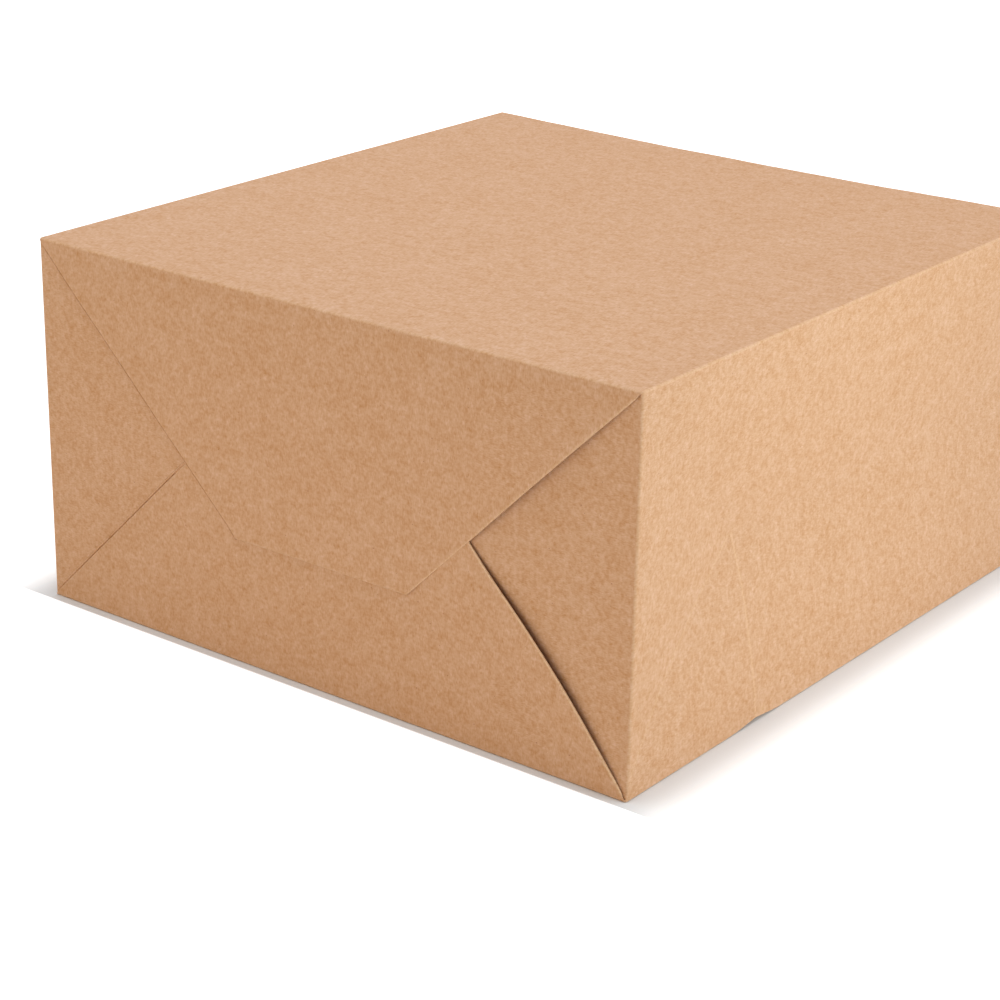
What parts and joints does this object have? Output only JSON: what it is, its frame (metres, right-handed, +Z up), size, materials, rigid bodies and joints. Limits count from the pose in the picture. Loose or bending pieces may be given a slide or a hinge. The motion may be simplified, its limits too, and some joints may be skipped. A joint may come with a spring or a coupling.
{
  "type": "kraft paper bag",
  "caption": "Block-bottom kraft paper bag without handles, lying on a broad side: folded base with glued flaps, creased side gussets, open mouth.",
  "frame": {"origin": "on the table at the middle of the bag's outline, under the bag as it lies on one broad panel", "axes": "+X across the broad panels, to the side panel that the picture shows; +Y along the length, from the folded base to the open mouth; +Z up, from the resting panel to the upper panel"},
  "size_m": [0.32, 0.3325, 0.169],
  "materials": {
    "kraft": "matte"
  },
  "bodies": {
    "root": {"bag": "kraft"}
  },
  "joints": []
}
